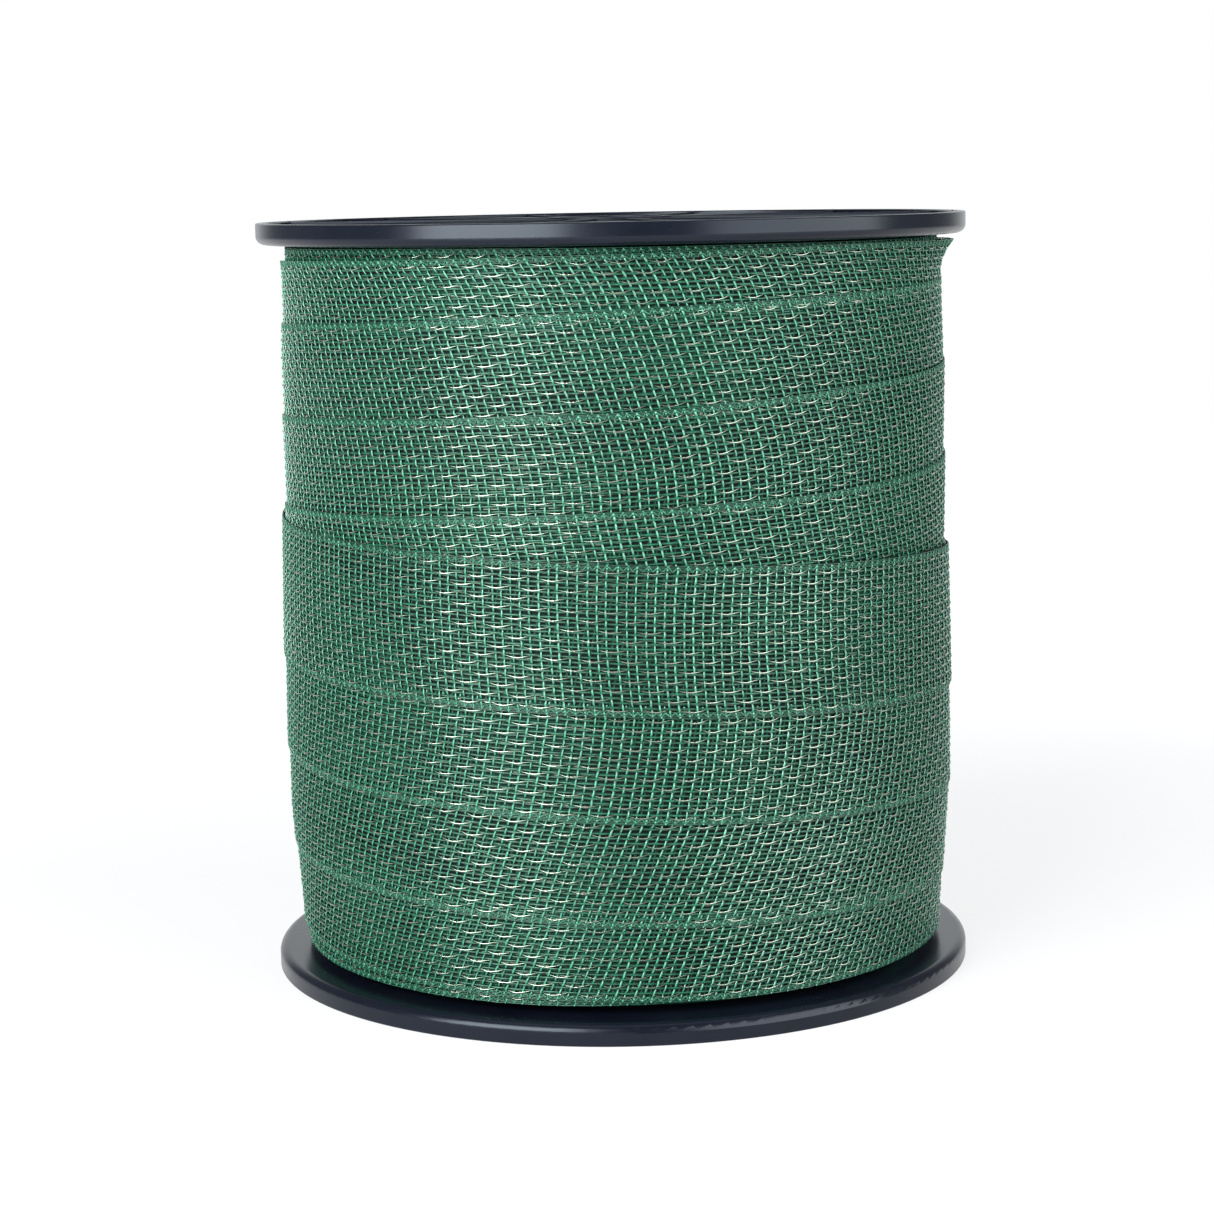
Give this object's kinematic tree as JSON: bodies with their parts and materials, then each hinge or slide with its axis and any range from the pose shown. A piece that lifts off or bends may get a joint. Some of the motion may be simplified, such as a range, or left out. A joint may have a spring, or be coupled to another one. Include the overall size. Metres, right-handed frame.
{
  "type": "ribbon spool",
  "caption": "Standing spool of open woven fence tape with steel wires, wound in sloping turns between two black moulded flanges on a snapped-in barrel.",
  "frame": {"origin": "centre of the spool's axis at the bottom flange's resting face", "axes": "+Z along the spool's axis, from the bottom flange to the top flange; -Y is the side the tape's edges are seen from in front"},
  "size_m": [0.202, 0.202, 0.215],
  "materials": {
    "flange_plastic": "black moulded polypropylene, satin gloss, faint scuffs on the rim",
    "barrel_plastic": "black moulded polypropylene, plain matt",
    "woven_tape": "open plain weave of green polyethylene monofilament with woven-in steel wires"
  },
  "bodies": {
    "root": {"bottom_flange": "flange_plastic", "top_flange": "flange_plastic", "barrel": "barrel_plastic", "tape_pack": "woven_tape", "tape_inner_end": "woven_tape", "tape_turn_1": "woven_tape", "tape_turn_2": "woven_tape", "tape_turn_3": "woven_tape", "tape_turn_4": "woven_tape", "tape_turn_5": "woven_tape", "tape_turn_6": "woven_tape", "tape_turn_7": "woven_tape", "tape_turn_8": "woven_tape", "tape_turn_9": "woven_tape", "tape_free_end": "woven_tape"}
  },
  "joints": []
}
